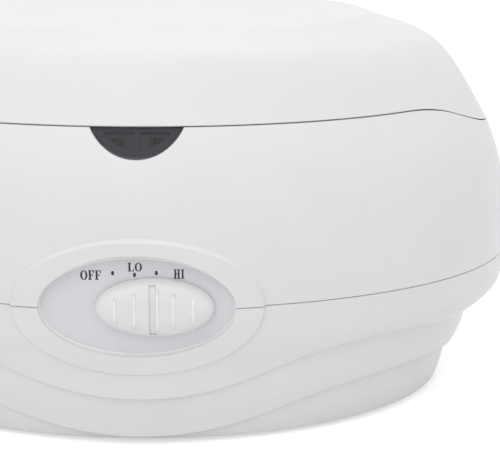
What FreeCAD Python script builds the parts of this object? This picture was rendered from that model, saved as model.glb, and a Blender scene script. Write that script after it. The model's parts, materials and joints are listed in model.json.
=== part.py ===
"""Paraffin wax warmer pot: an oval bath with a lift-off lid, a slide heat control and an indicator.

Millimetres, +Z up, +X to the right, the front faces -Y. The origin is under the middle of the part,
on the plane that its four feet stand on.
"""
import FreeCAD, Part
import math
import os
import Sketcher

V = FreeCAD.Vector
LOFT_DEGREE = 3

# Driving sizes. Ends in _z: height above the feet. Ends in _a, _b: half length along X, half depth along Y.
SIZES = {
    # Outer skin, one oval at each height
    "waist_z": 76.2, "waist_a": 195.0, "waist_b": 126.0,
    "chest_z": 102.5, "chest_a": 194.4, "chest_b": 125.3,
    "shoulder_z": 122.5, "shoulder_a": 191.0, "shoulder_b": 122.0,
    "neck_z": 146.5, "neck_a": 182.4, "neck_b": 113.6,
    "rim_z": 161.5, "rim_a": 173.8, "rim_b": 104.8,
    "brow_z": 174.5, "brow_a": 165.6, "brow_b": 97.8,
    "crown_z": 187.0, "crown_a": 155.0, "crown_b": 90.5,
    "dome_z": 196.0, "dome_a": 138.0, "dome_b": 82.5,
    "plateau_z": 203.3, "plateau_a": 117.0, "plateau_b": 72.8,
    # Base, upper tier
    "hip_z": 64.0, "hip_a": 194.0, "hip_b": 125.6,
    "flank_z": 57.0, "flank_a": 192.0, "flank_b": 125.0,
    "tuck_z": 50.5, "tuck_a": 185.4, "tuck_b": 123.8,
    "fold_z": 43.5, "fold_a": 175.9, "fold_b": 122.4,
    "keel_z": 22.5, "keel_a": 160.0, "keel_b": 120.6,
    # Base, middle tier
    "mid_top_z": 57.0, "mid_top_a": 183.0, "mid_top_b": 121.2,
    "mid_fold_z": 42.5, "mid_fold_a": 175.2, "mid_fold_b": 120.0,
    "mid_belly_z": 31.5, "mid_belly_a": 172.8, "mid_belly_b": 118.8,
    "mid_tuck_z": 24.0, "mid_tuck_a": 168.6, "mid_tuck_b": 118.0,
    "mid_low_z": 17.5, "mid_low_a": 162.2, "mid_low_b": 117.2,
    "mid_keel_a": 152.0, "mid_keel_b": 116.0,
    # Base, bottom tier
    "low_top_z": 26.5, "low_top_a": 164.5, "low_top_b": 115.8,
    "low_mid_z": 12.5, "low_mid_a": 162.8, "low_mid_b": 114.6,
    "low_edge_a": 159.6, "low_edge_b": 112.4,
    # Waves that end the upper two tiers
    "wave_trough_z": 26.6, "wave_rise": 26.2, "wave_crest_x": 131.0, "wave_fall_radius": 113.0,
    "swell_trough_z": 4.6, "swell_rise": 23.8, "swell_crest_x": 140.0, "swell_fall_radius": 100.0,
    # Lid line: level along the sides, dipping at both ends
    "dip_half": 66.0, "dip_turn": 46.0, "dip_depth": 16.0, "lid_gap": 0.6,
    # Walls
    "wall": 2.8, "floor": 3.0, "land": 2.6, "ledge": 2.6, "ledge_drop": 4.5, "seam": 0.35,
    # Well that the tank drops into
    "well_a": 162.0, "well_b": 94.0, "sleeve": 2.6,
    # Tank
    "tank_a": 146.0, "tank_b": 80.0, "tank_draft": 8.0, "tank_base_z": 64.0, "tank_round": 12.0,
    "tank_wall": 2.0, "tank_flange": 2.0, "tank_gap": 1.5, "flange_gap": 0.6, "gasket": 1.5,
    "flange_screw_inset": 11.5, "flange_screw_radius": 1.6, "flange_screw_length": 7.0,
    # Lid inside
    "skirt": 2.4, "skirt_gap": 2.4, "seal": 3.0,
    # Control panel and bezel
    "bezel_a": 60.2, "bezel_b": 34.4, "bezel_raise": 3.2, "bezel_fade": 1.2,
    "bezel_depth": 11.0, "bezel_draft": 4.4,
    "panel_a": 48.0, "panel_b": 25.0, "panel_gap": 0.3, "panel_recess": 5.0, "panel_thick": 2.6,
    "panel_flange": 2.0, "collar": 3.7, "bezel_chamfer": 2.0,
    # Slide knob
    "knob_a": 29.0, "knob_b": 14.6, "knob_height": 9.0, "knob_lift": 0.4, "knob_rest": 8.7,
    "knob_travel": 17.0, "stem_x": 4.0, "stem_z": 6.0, "stem_gap": 0.35,
    "rib_pitch": 9.5, "rib_width": 1.3, "rib_height": 0.6, "rib_long": 18.0, "rib_short": 12.0,
    "index_long": 25.0, "index_width": 3.2, "index_depth": 0.9, "index_side": 0.6,
    # Carriage, guides, rack and pinion
    "carriage_a": 36.0, "carriage_tall": 25.4, "carriage_plate": 2.2, "slide_gap": 0.2,
    "guide_tall": 4.0, "guide_long": 72.0, "guide_lip": 2.5, "guide_lip_thick": 1.5, "guide_gap": 0.3,
    "block_x": 16.0, "block_z": 18.0, "rack_behind": 5.6, "rack_thick": 5.0, "rack_long": 52.0,
    "notch_from": 29.0, "notch_above": 9.0,
    "rack_drop": 21.6, "rack_bar": 3.8, "tooth_module": 1.5, "pinion_teeth": 16, "addendum": 1.2,
    "dedendum": 1.6, "backlash": 0.3, "pinion_inset": 0.5,
    # Thermostat
    "spindle_radius": 3.0, "spindle_gap": 0.05, "bush_radius": 5.0, "bush_proud": 1.8, "nut_thick": 3.0,
    "nut_flats": 14.0, "nut_gap": 1.0, "thread_gap": 0.1, "bracket_sheet": 1.5, "bracket_wide": 36.0,
    "bracket_over": 13.0, "bracket_foot": 20.0, "bracket_boss": 3.0, "bracket_screw_x": 11.0,
    "thermostat_x": 30.0, "thermostat_y": 20.0, "thermostat_z": 26.0, "spindle_end": 2.0, "spindle_seat": 4.0,
    # Heater under the tank
    "heater_a": 108.0, "heater_b": 46.0, "heater_band": 22.0, "heater_thick": 3.0, "clamp_over": 4.0,
    "clamp_thick": 1.5, "stud_radius": 2.0, "stud_long": 12.0, "stud_x": 97.0, "stud_y": 35.0,
    "stud_gap": 0.3, "stud_nut_flats": 7.0, "stud_nut_thick": 3.2,
    "fuse_x": 60.0, "fuse_y": 28.0, "fuse_radius": 2.5, "fuse_long": 24.0, "fuse_holder_x": 18.0,
    "fuse_holder_y": 9.0, "fuse_holder_z": 8.0, "fuse_gap": 0.1,
    # Blanket round the tank
    "blanket_low_z": 84.0, "blanket_high_z": 134.0, "blanket_thick": 8.0, "blanket_gap": 0.4,
    # Grate on the tank floor
    "grate_a": 112.0, "grate_b": 50.0, "grate_thick": 2.5, "grate_leg": 6.0, "grate_leg_radius": 3.0,
    "grate_slot": 6.0, "grate_pitch": 14.0, "grate_border": 12.0,
    # Indicator
    "lens_radius": 25.6, "lens_rise": 11.4, "lens_gap": 0.3, "lens_thick": 2.6, "lens_seat": 3.2,
    "window_radius": 22.0, "window_rib": 2.6, "lamp_radius": 2.0, "lamp_long": 12.0, "lamp_x": 10.0,
    "holder_x": 36.0, "holder_low": 17.5, "holder_high": 4.2, "holder_gap": 0.3,
    # Screw towers between the two housings
    "tower_x": 95.0, "tower_y": 80.0, "tower_radius": 5.0, "screw_radius": 1.9, "screw_gap": 0.2,
    "head_radius": 3.5, "head_thick": 2.5, "screw_under": 8.0, "screw_grip": 12.0,
    # Feet
    "foot_lift": 2.5, "foot_x": 98.0, "foot_y": 60.0, "foot_radius": 9.5, "foot_chamfer": 1.0,
    "foot_stem": 2.8, "foot_bulb": 3.6, "foot_bulb_tall": 2.0, "foot_hole_gap": 0.2,
    # Vents in the floor
    "vent_long": 40.0, "vent_wide": 3.0, "vent_pitch": 9.0, "vent_count": 5,
    # Cord gland and terminals
    "gland_z": 40.0, "gland_bore": 4.0, "gland_neck": 6.4, "gland_flange": 9.0, "gland_boss": 12.0,
    "gland_face": 0.5, "gland_seat": 15.0, "gland_nut_thick": 5.0, "gland_nut_radius": 10.0,
    "gland_gap": 0.1, "terminal_x": 44.0, "terminal_y": 18.0, "terminal_z": 15.0, "terminal_at_y": 78.0,
    "terminal_ways": 3, "terminal_hole": 2.4,
    # Internal leads
    "lead_radius": 1.0,
    # How far cutting tools run past the outer skin
    "tool_reach": 30.0,
}

os.makedirs("parts", exist_ok=True)
doc = FreeCAD.newDocument("wax_warmer_pot")
sheet = doc.addObject("Spreadsheet::Sheet", "dims")
for row, (alias, number) in enumerate(SIZES.items(), start=1):
    sheet.set(f"A{row}", alias)
    sheet.set(f"B{row}", str(number))
    sheet.setAlias(f"B{row}", alias)
doc.recompute()


class Length:
    """A size from the sheet, or sums of such sizes, kept as a formula and as its present number."""

    def __init__(self, formula, value):
        self.formula = formula
        self.value = value

    def __add__(self, other):
        other = length(other)
        return Length(f"({self.formula} + {other.formula})", self.value + other.value)

    def __sub__(self, other):
        other = length(other)
        return Length(f"({self.formula} - {other.formula})", self.value - other.value)

    def __mul__(self, other):
        other = length(other)
        return Length(f"({self.formula} * {other.formula})", self.value * other.value)

    def __truediv__(self, other):
        other = length(other)
        return Length(f"({self.formula} / {other.formula})", self.value / other.value)

    def __neg__(self):
        return Length(f"(0 - {self.formula})", -self.value)

    def __radd__(self, other):
        return length(other) + self

    def __rsub__(self, other):
        return length(other) - self

    def __rmul__(self, other):
        return length(other) * self


def length(number):
    """A plain number as a Length; a Length as it is."""
    if isinstance(number, Length):
        return number
    return Length(f"{float(number):.6f}", float(number))


def ordered(first, second):
    """Two lengths, the smaller first."""
    return (first, second) if first.value < second.value else (second, first)


class Sheet:
    """The sheet's sizes by name."""

    def __getattr__(self, alias):
        return Length(f"dims.{alias}", float(sheet.get(alias)))


S = Sheet()


def bind(item, **sizes):
    """Tie properties of an object to formulas of the sheet."""
    for name, size in sizes.items():
        item.setExpression(name, length(size).formula)
    return item


def place(item, x=0, y=0, z=0):
    """Tie an object's position to formulas of the sheet."""
    for axis, size in zip("xyz", (x, y, z)):
        item.setExpression(f"Placement.Base.{axis}", length(size).formula)
    return item


def turned(item, axis, degrees):
    """Turn an object about an axis through its own origin."""
    item.Placement = FreeCAD.Placement(V(), FreeCAD.Rotation(axis, degrees))
    return item


def cut(name, base, *tools):
    """A solid less its tools."""
    tool = tools[0] if len(tools) == 1 else fuse(f"{name}_tools", *tools)
    solid = doc.addObject("Part::Cut", name)
    solid.Base = base
    solid.Tool = tool
    return solid


def fuse(name, *solids):
    """Several solids as one."""
    solid = doc.addObject("Part::MultiFuse", name)
    solid.Shapes = list(solids)
    return solid


def common(name, first, second):
    """What two solids share."""
    solid = doc.addObject("Part::Common", name)
    solid.Base = first
    solid.Tool = second
    return solid


def group(name, *solids):
    """Separate like solids in one node."""
    node = doc.addObject("Part::Compound", name)
    node.Links = list(solids)
    return node


def stack(name, ovals, ruled=False):
    """A solid through level ovals, each given as half length, half depth and height."""
    rings = []
    for half_x, half_y, height in ovals:
        ring = doc.addObject("Part::Ellipse", f"{name}_oval")
        bind(ring, MajorRadius=half_x, MinorRadius=half_y)
        rings.append(place(ring, z=height))
    solid = doc.addObject("Part::Loft", name)
    solid.Sections = rings
    solid.Solid = True
    solid.Ruled = ruled
    solid.MaxDegree = LOFT_DEGREE
    return solid


def prism(name, half_x, half_y, low, high):
    """An upright oval prism."""
    return stack(name, [(half_x, half_y, low), (half_x, half_y, high)], ruled=True)


def front_stack(name, ovals, height, ruled=True):
    """A solid through upright ovals that face the front, each given as half width, half height and Y."""
    rings = []
    for half_x, half_z, across in ovals:
        ring = doc.addObject("Part::Ellipse", f"{name}_oval")
        turned(ring, V(1, 0, 0), 90)
        bind(ring, MajorRadius=half_x, MinorRadius=half_z)
        rings.append(place(ring, y=across, z=height))
    solid = doc.addObject("Part::Loft", name)
    solid.Sections = rings
    solid.Solid = True
    solid.Ruled = ruled
    solid.MaxDegree = LOFT_DEGREE
    return solid


def bar(name, x, y, z):
    """A box between two X, two Y and two Z values."""
    box = doc.addObject("Part::Box", name)
    bind(box, Length=length(x[1]) - x[0], Width=length(y[1]) - y[0], Height=length(z[1]) - z[0])
    return place(box, x[0], y[0], z[0])


def rod(name, radius, start, reach, axis="z"):
    """A cylinder from a start point along an axis."""
    cylinder = doc.addObject("Part::Cylinder", name)
    if axis == "y":
        turned(cylinder, V(1, 0, 0), -90)
    if axis == "x":
        turned(cylinder, V(0, 1, 0), 90)
    bind(cylinder, Radius=radius, Height=reach)
    return place(cylinder, *start)


def nut(name, flats, bore, start, reach, axis="z"):
    """A hexagon nut from a start point along an axis."""
    block = doc.addObject("Part::Prism", f"{name}_block")
    block.Polygon = 6
    if axis == "y":
        turned(block, V(1, 0, 0), -90)
    bind(block, Circumradius=flats / math.sqrt(3), Height=reach)
    place(block, *start)
    return cut(name, block, rod(f"{name}_bore", bore, start, reach, axis))


def coded(name, shape):
    """A shape drawn by a formula that the sketcher and the primitives have no form for."""
    item = doc.addObject("Part::Feature", name)
    item.Shape = shape
    return item


def sketch_on(body, name, role):
    """A new sketch on one of a body's own origin planes."""
    plane = [item for item in body.Origin.OriginFeatures if item.Role == role][0]
    sketch = body.newObject("Sketcher::SketchObject", name)
    sketch.AttachmentSupport = [(plane, "")]
    sketch.MapMode = "FlatFace"
    return sketch


def draw_polygon(sketch, corners):
    """A closed polygon whose corners are tied to the sheet by their distances from the origin."""
    corners = [(length(across), length(along)) for across, along in corners]
    first = sketch.GeometryCount
    count = len(corners)
    for index, (across, along) in enumerate(corners):
        after = corners[(index + 1) % count]
        start = V(across.value, along.value, 0)
        sketch.addGeometry(Part.LineSegment(start, V(after[0].value, after[1].value, 0)), False)
    for index in range(count):
        follower = first + (index + 1) % count
        sketch.addConstraint(Sketcher.Constraint("Coincident", first + index, 2, follower, 1))
    for index, corner in enumerate(corners):
        for kind, size in zip(("DistanceX", "DistanceY"), corner):
            rule = sketch.addConstraint(Sketcher.Constraint(kind, -1, 1, first + index, 1, size.value))
            sketch.setExpression(f"Constraints[{rule}]", size.formula)


def turned_body(name, corners):
    """A body revolved about its own Z axis from a half outline of radius and height pairs."""
    body = doc.addObject("PartDesign::Body", name)
    sketch = sketch_on(body, f"{name}_outline", "XZ_Plane")
    draw_polygon(sketch, corners)
    spun = body.newObject("PartDesign::Revolution", f"{name}_spun")
    spun.Profile = sketch
    spun.ReferenceAxis = (sketch, ["V_Axis"])
    spun.Angle = 360
    return body


def padded_body(name, role, corners, thick):
    """A body padded both ways from a polygon on one of its origin planes."""
    body = doc.addObject("PartDesign::Body", name)
    sketch = sketch_on(body, f"{name}_outline", role)
    draw_polygon(sketch, corners)
    pad = body.newObject("PartDesign::Pad", f"{name}_pad")
    pad.Profile = sketch
    pad.Midplane = True
    bind(pad, Length=thick)
    return body


# Heights and depths worked out from the sizes
floor_z = S.foot_lift + S.floor
ledge_z = S.rim_z - S.dip_depth - S.ledge_drop
ledge_under = ledge_z - S.ledge
gasket_top = ledge_z + S.gasket
flange_top = gasket_top + S.tank_flange
seal_top = flange_top + S.seal
tank_floor = S.tank_base_z + S.tank_wall
panel_z = S.waist_z
panel_front = S.waist_b - S.panel_recess
panel_back = panel_front - S.panel_thick
flange_back = panel_back - S.panel_flange
knob_foot = panel_front + S.knob_lift
knob_front = knob_foot + S.knob_height
rack_front = flange_back - S.rack_behind
rack_back = rack_front - S.rack_thick
pinion_radius = S.tooth_module * S.pinion_teeth / 2
pitch_z = panel_z - S.rack_drop
pinion_z = pitch_z - pinion_radius
pinion_front = rack_front - S.pinion_inset
pinion_back = rack_back + S.pinion_inset
nut_front = pinion_back - S.nut_gap
bracket_front = nut_front - S.nut_thick
bracket_back = bracket_front - S.bracket_sheet
bracket_z = floor_z + S.bracket_boss
bracket_screw_y = bracket_back - S.bracket_foot * 0.6
gland_outer = S.waist_b + S.gland_face
gland_inner = gland_outer - S.gland_seat
clamp_top = S.tank_base_z - S.heater_thick
clamp_under = clamp_top - S.clamp_thick
lens_z = S.rim_z + S.lens_rise
seam_low = S.waist_z - S.seam
reach_x = S.waist_a + S.tool_reach
reach_y = S.waist_b + S.tool_reach
TOWERS = [(sx, sy) for sx in (-1, 1) for sy in (-1, 1)]

HOUSING_OVALS = ("waist", "chest", "shoulder", "neck", "rim", "brow")
LENS_OVALS = ("shoulder", "neck", "rim", "brow")
LID_OVALS = ("shoulder", "neck", "rim", "brow", "crown", "dome", "plateau")


def skin(name, stations, shrink=0, sink=0, ruled=False):
    """The oval skin through some of the stations, drawn in and lowered by given amounts."""
    ovals = []
    for station in stations:
        half_x = getattr(S, f"{station}_a") - shrink
        half_y = getattr(S, f"{station}_b") - shrink
        ovals.append((half_x, half_y, getattr(S, f"{station}_z") - sink))
    return stack(name, ovals, ruled)


def arc(start, middle, end):
    """An edge through three points."""
    return Part.Arc(start, middle, end).toShape()


def line(start, end):
    """A straight edge."""
    return Part.LineSegment(start, end).toShape()


def lid_line_block(name, lift=0.0):
    """Everything under the lid line, which runs level and dips in two tangent arcs at each end."""
    half, turn, depth = S.dip_half.value, S.dip_turn.value, S.dip_depth.value
    angle = 2 * math.atan(depth / half)
    low_radius = turn / math.sin(angle)
    high_radius = (half - turn) / math.sin(angle)
    top = S.rim_z.value + length(lift).value
    wide, long = reach_y.value, reach_x.value
    turn_z = top - high_radius * (1 - math.cos(angle))
    half_y = half - high_radius * math.sin(angle / 2)
    half_z = top - high_radius * (1 - math.cos(angle / 2))

    def at(across, height):
        return V(-long, across, height)

    edges = [
        line(at(-wide, 0), at(-wide, top)),
        line(at(-wide, top), at(-half, top)),
        arc(at(-half, top), at(-half_y, half_z), at(-turn, turn_z)),
        arc(at(-turn, turn_z), at(0, top - depth), at(turn, turn_z)),
        arc(at(turn, turn_z), at(half_y, half_z), at(half, top)),
        line(at(half, top), at(wide, top)),
        line(at(wide, top), at(wide, 0)),
        line(at(wide, 0), at(-wide, 0)),
    ]
    face = Part.Face(Part.Wire(edges))
    return coded(name, face.extrude(V(2 * long, 0, 0)))


def wave_block(name, stem):
    """Everything under a tier's wavy lower edge: a trough in front, a crest at each corner."""
    low = getattr(S, f"{stem}_trough_z").value
    rise = getattr(S, f"{stem}_rise").value
    crest = getattr(S, f"{stem}_crest_x").value
    fall = getattr(S, f"{stem}_fall_radius").value
    high = low + rise
    radius = (crest ** 2 + rise ** 2) / (4 * rise)
    turn = 2 * math.atan(rise / crest)
    middle_x = radius * math.sin(turn / 2)
    bend = radius * (1 - math.cos(turn / 2))
    end_angle = math.radians(50)
    end_x = crest + fall * math.sin(end_angle)
    end_z = high - fall * (1 - math.cos(end_angle))
    fall_x = crest + fall * math.sin(end_angle / 2)
    fall_z = high - fall * (1 - math.cos(end_angle / 2))
    far, bottom, wide = end_x + reach_x.value, end_z - reach_x.value, reach_y.value

    def at(across, height):
        return V(across, -wide, height)

    edges = [
        line(at(-far, bottom), at(-far, end_z)),
        line(at(-far, end_z), at(-end_x, end_z)),
        arc(at(-end_x, end_z), at(-fall_x, fall_z), at(-crest, high)),
        arc(at(-crest, high), at(middle_x - crest, high - bend), at(-crest / 2, low + rise / 2)),
        arc(at(-crest / 2, low + rise / 2), at(0, low), at(crest / 2, low + rise / 2)),
        arc(at(crest / 2, low + rise / 2), at(crest - middle_x, high - bend), at(crest, high)),
        arc(at(crest, high), at(fall_x, fall_z), at(end_x, end_z)),
        line(at(end_x, end_z), at(far, end_z)),
        line(at(far, end_z), at(far, bottom)),
        line(at(far, bottom), at(-far, bottom)),
    ]
    face = Part.Face(Part.Wire(edges))
    return coded(name, face.extrude(V(0, 2 * wide, 0)))


# Shared outer and inner skins
housing_outer = skin("housing_outer", HOUSING_OVALS)
housing_inner = skin("housing_inner", HOUSING_OVALS, S.wall, S.wall, ruled=True)
lid_outer = skin("lid_outer", LID_OVALS)
lid_inner = skin("lid_inner", LID_OVALS, S.wall, S.wall, ruled=True)
base_inner = stack("base_inner", [
    (S.low_edge_a - S.wall * 3, S.low_edge_b - S.wall * 3, floor_z),
    (S.low_top_a - S.wall * 1.6, S.low_top_b - S.wall * 1.6, S.low_top_z),
    (S.mid_top_a - S.wall * 2, S.mid_top_b - S.wall * 2, S.mid_top_z),
    (S.hip_a - S.wall * 1.5, S.hip_b - S.wall * 1.5, S.hip_z + S.wall),
    (S.waist_a - S.wall, S.waist_b - S.wall, S.waist_z + S.wall),
], ruled=True)
above_waist = bar("above_waist", (-reach_x, reach_x), (-reach_y, 0), (S.waist_z, S.plateau_z))
below_waist = bar("below_waist", (-reach_x, reach_x), (-reach_y, 0), (S.foot_lift, seam_low))

# Raised bezel round the control panel: a skin just proud of the body, trimmed by a cone
bezel_middle = (S.bezel_raise + S.bezel_fade) / 2
bezel_skin = stack("bezel_skin", [
    (S.keel_a + S.bezel_fade, S.keel_b + S.bezel_fade, S.keel_z),
    (S.fold_a + S.bezel_fade, S.fold_b + S.bezel_fade, S.fold_z),
    (S.flank_a + S.bezel_fade, S.flank_b + S.bezel_fade, S.flank_z),
    (S.waist_a + bezel_middle, S.waist_b + bezel_middle, S.waist_z),
    (S.chest_a + S.bezel_raise, S.chest_b + S.bezel_raise, S.chest_z),
    (S.shoulder_a + S.bezel_raise, S.shoulder_b + S.bezel_raise, S.shoulder_z),
])
bezel_cone = front_stack("bezel_cone", [
    (S.bezel_a + S.bezel_draft, S.bezel_b + S.bezel_draft, S.bezel_depth - S.waist_b),
    (S.bezel_a - S.bezel_draft, S.bezel_b - S.bezel_draft, -S.bezel_depth - S.waist_b),
], panel_z)
bezel_pad = common("bezel_pad", bezel_skin, bezel_cone)


def front_prism(name, half_x, half_z, near, far):
    """An oval prism that faces the front, centred on the panel, between two distances from the middle."""
    return front_stack(name, [(half_x, half_z, -near), (half_x, half_z, -far)], panel_z)


# Panel seat: a collar round the opening, and a pocket behind the collar for the panel's flange
opening_a = S.panel_a + S.panel_gap
opening_b = S.panel_b + S.panel_gap
collar_a = opening_a + S.collar
collar_b = opening_b + S.collar
collar_prism = front_prism("collar_prism", collar_a, collar_b, panel_back, reach_y)
collar_block = common("collar_block", bezel_skin, collar_prism)
panel_opening = front_prism("panel_opening", opening_a, opening_b, flange_back, reach_y)
pocket_a = collar_a + S.panel_gap
pocket_b = collar_b + S.panel_gap
panel_pocket = front_prism("panel_pocket", pocket_a, pocket_b, rack_back, panel_back)
bezel_bevel = front_stack("bezel_bevel", [
    (opening_a, opening_b, -S.waist_b),
    (opening_a + S.bezel_chamfer, opening_b + S.bezel_chamfer, -S.waist_b - S.bezel_chamfer),
    (opening_a + S.bezel_chamfer, opening_b + S.bezel_chamfer, -reach_y),
], panel_z)
panel_cutter = fuse("panel_cutter", panel_opening, panel_pocket, bezel_bevel)


def make_upper_housing():
    """Upper housing: shell, rim land, well sleeve and tank ledge, with screw bosses and the lens seat."""
    block = common("upper_block", housing_outer, lid_line_block("under_lid_line"))
    pad = common("upper_bezel", bezel_pad, above_waist)
    hollow = common("upper_hollow", housing_inner, lid_line_block("under_land", -S.land))
    sleeve = prism("sleeve_block", S.well_a + S.sleeve, S.well_b + S.sleeve, ledge_under, S.brow_z)
    cavity = cut("upper_cavity", hollow, sleeve)
    well = prism("well", S.well_a, S.well_b, ledge_z, S.brow_z)
    hole = prism("tank_hole", S.tank_a + S.tank_gap, S.tank_b + S.tank_gap, S.shoulder_z, S.rim_z)
    shell = cut("upper_shell", fuse("upper_solid", block, pad), cavity, well, hole)
    pieces = [shell, common("upper_collar", collar_block, above_waist)]
    tools = [lens_recess(), *lens_windows()]
    for index, (sx, sy) in enumerate(TOWERS):
        at = (S.tower_x * sx, S.tower_y * sy, S.waist_z)
        pieces.append(rod(f"upper_boss_{index}", S.tower_radius, at, ledge_z - S.waist_z))
        depth = S.screw_grip + S.screw_gap * 5
        tools.append(rod(f"upper_pilot_{index}", S.screw_radius + S.screw_gap, at, depth))
    for index, (x, y) in enumerate(flange_screw_places()):
        radius = S.flange_screw_radius + S.screw_gap
        tools.append(rod(f"ledge_hole_{index}", radius, (x, y, ledge_under), S.ledge * 2))
    opened = cut("upper_opened", fuse("upper_pieces", *pieces), panel_cutter)
    return cut("upper_housing", opened, *tools)


def flange_screw_places():
    """Where the six tank screws stand, on an oval inside the flange's edge."""
    half_x = S.well_a - S.flange_screw_inset
    half_y = S.well_b - S.flange_screw_inset
    places = []
    for degrees in range(30, 390, 60):
        turn = math.radians(degrees)
        places.append((half_x * math.cos(turn), half_y * math.sin(turn)))
    return places


def front_rod(name, radius, height, near, far):
    """A cylinder along Y on the middle plane, between two distances in front of the middle."""
    return rod(name, radius, (0, -far, height), length(far) - near, "y")


def lens_recess():
    """Seat of the indicator lens: a half moon cut to one depth into the leaning front wall."""
    moon = front_rod("lens_moon", S.lens_radius, lens_z, S.well_b, reach_y)
    return cut("lens_recess", moon, skin("lens_seat_skin", LENS_OVALS, S.lens_seat))


def lens_windows():
    """Two lamp windows in the floor of the lens seat, with a rib between them."""
    moon = front_rod("window_moon", S.window_radius, lens_z, S.well_b + S.sleeve * 1.2, reach_y)
    window_top = S.rim_z - S.land
    windows = []
    for index, side in enumerate((-1, 1)):
        edges = ordered(S.window_rib / 2 * side, S.window_radius * side)
        half = bar(f"window_half_{index}", edges, (-reach_y, -S.well_b), (S.neck_z - S.land, window_top))
        windows.append(common(f"lamp_window_{index}", moon, half))
    return windows


def make_indicator_lens():
    """Smoked half-moon lens that follows the front wall, set a hair under its surface."""
    moon = front_rod("lens_disc", S.lens_radius - S.lens_gap, lens_z, S.well_b, reach_y)
    moon = common("lens_front", moon, skin("lens_face_skin", LENS_OVALS, S.lens_gap))
    moon = common("lens_trimmed", moon, lid_line_block("under_lens_top", -S.lens_gap))
    return cut("indicator_lens", moon, skin("lens_back_skin", LENS_OVALS, S.lens_gap + S.lens_thick))


lamp_y = S.well_b + S.sleeve + S.holder_gap + S.lamp_radius * 1.7
holder_low_z = S.rim_z - S.holder_low
holder_high_z = S.rim_z - S.holder_high


def make_lamp_holder():
    """Lamp holder behind the lens, in the pocket between front wall and well."""
    block = bar("holder_block", (-S.holder_x / 2, S.holder_x / 2), (-S.shoulder_b, -S.well_b),
                (holder_low_z, holder_high_z))
    front = skin("holder_skin", HOUSING_OVALS, S.wall + S.holder_gap, S.wall, ruled=True)
    block = common("holder_front", block, front)
    behind = S.sleeve + S.holder_gap / 2
    tools = [prism("holder_back", S.well_a + behind, S.well_b + behind, S.shoulder_z, S.brow_z)]
    for index, side in enumerate((-1, 1)):
        at = (S.lamp_x * side, -lamp_y, holder_low_z)
        depth = S.lamp_long + S.holder_gap
        tools.append(rod(f"lamp_socket_{index}", S.lamp_radius + S.holder_gap, at, depth))
        window = (S.lamp_x * side - S.lamp_radius * 2, S.lamp_x * side + S.lamp_radius * 2)
        tools.append(bar(f"lamp_mouth_{index}", window, (-S.shoulder_b, -lamp_y),
                         (holder_low_z + S.lamp_radius * 2, holder_low_z + S.lamp_long)))
    return cut("lamp_holder", block, *tools)


def make_lamp(name, side):
    """One neon lamp, pushed into its socket from below."""
    radius = S.lamp_radius
    lamp = turned_body(name, [
        (0, 0),
        (radius * 0.8, 0),
        (radius, radius * 0.2),
        (radius, S.lamp_long - radius),
        (radius * 0.7, S.lamp_long - radius * 0.3),
        (radius * 0.2, S.lamp_long),
        (0, S.lamp_long),
    ])
    return place(lamp, S.lamp_x * side, -lamp_y, holder_low_z)


def make_base_housing():
    """Base housing: three wavy tiers over a hollow, with screw towers, vents and the gland boss."""
    upper = cut("tier_upper", stack("tier_upper_bowl", [
        (S.keel_a, S.keel_b, S.keel_z),
        (S.fold_a, S.fold_b, S.fold_z),
        (S.tuck_a, S.tuck_b, S.tuck_z),
        (S.flank_a, S.flank_b, S.flank_z),
        (S.hip_a, S.hip_b, S.hip_z),
        (S.waist_a, S.waist_b, seam_low),
    ]), wave_block("wave_upper", "wave"))
    middle = cut("tier_middle", stack("tier_middle_bowl", [
        (S.mid_keel_a, S.mid_keel_b, S.foot_lift),
        (S.mid_low_a, S.mid_low_b, S.mid_low_z),
        (S.mid_tuck_a, S.mid_tuck_b, S.mid_tuck_z),
        (S.mid_belly_a, S.mid_belly_b, S.mid_belly_z),
        (S.mid_fold_a, S.mid_fold_b, S.mid_fold_z),
        (S.mid_top_a, S.mid_top_b, S.mid_top_z),
    ]), wave_block("wave_middle", "swell"))
    lower = stack("tier_lower", [
        (S.low_edge_a, S.low_edge_b, S.foot_lift),
        (S.low_mid_a, S.low_mid_b, S.low_mid_z),
        (S.low_top_a, S.low_top_b, S.low_top_z),
    ])
    pad = common("lower_bezel", bezel_pad, below_waist)
    block = cut("base_opened", fuse("base_block", upper, middle, lower, pad), panel_cutter)
    shell = cut("base_shell", block, base_inner)
    pieces = [shell, cut("lower_ring", common("lower_collar", collar_block, below_waist), panel_cutter)]
    pieces.append(rod("gland_boss_rod", S.gland_boss, (0, gland_inner, S.gland_z), S.gland_seat, "y"))
    tools = [rod("gland_hole", S.gland_neck + S.gland_gap, (0, S.well_b, S.gland_z), S.waist_b, "y")]
    head_z = S.waist_z - S.screw_under
    radius = S.screw_radius + S.screw_gap
    for index, (sx, sy) in enumerate(TOWERS):
        x, y = S.tower_x * sx, S.tower_y * sy
        pieces.append(rod(f"tower_{index}", S.tower_radius, (x, y, S.foot_lift), S.waist_z - S.foot_lift))
        tools.append(rod(f"tower_hole_{index}", radius, (x, y, head_z), S.screw_under))
        tools.append(rod(f"tower_well_{index}", S.head_radius + S.screw_gap, (x, y, 0), head_z))
        x, y = S.foot_x * sx, S.foot_y * sy
        tools.append(rod(f"foot_hole_{index}", S.foot_stem + S.foot_hole_gap, (x, y, 0), floor_z + S.floor))
    for index, side in enumerate((-1, 1)):
        x, y = S.bracket_screw_x * side, -bracket_screw_y
        rise = bracket_z - S.foot_lift
        pieces.append(rod(f"bracket_boss_{index}", S.tower_radius, (x, y, S.foot_lift), rise))
        low = floor_z - S.floor / 2
        tools.append(rod(f"bracket_pilot_{index}", radius, (x, y, low), bracket_z - low))
    ways = int(S.vent_count.value)
    for index in range(ways):
        offset = S.vent_pitch * (index - (ways - 1) / 2)
        along = (-S.vent_long / 2, S.vent_long / 2)
        across = (offset - S.vent_wide / 2, offset + S.vent_wide / 2)
        tools.append(bar(f"vent_{index}", along, across, (0, floor_z + S.floor)))
    return cut("base_housing", fuse("base_pieces", *pieces), *tools)


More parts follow.
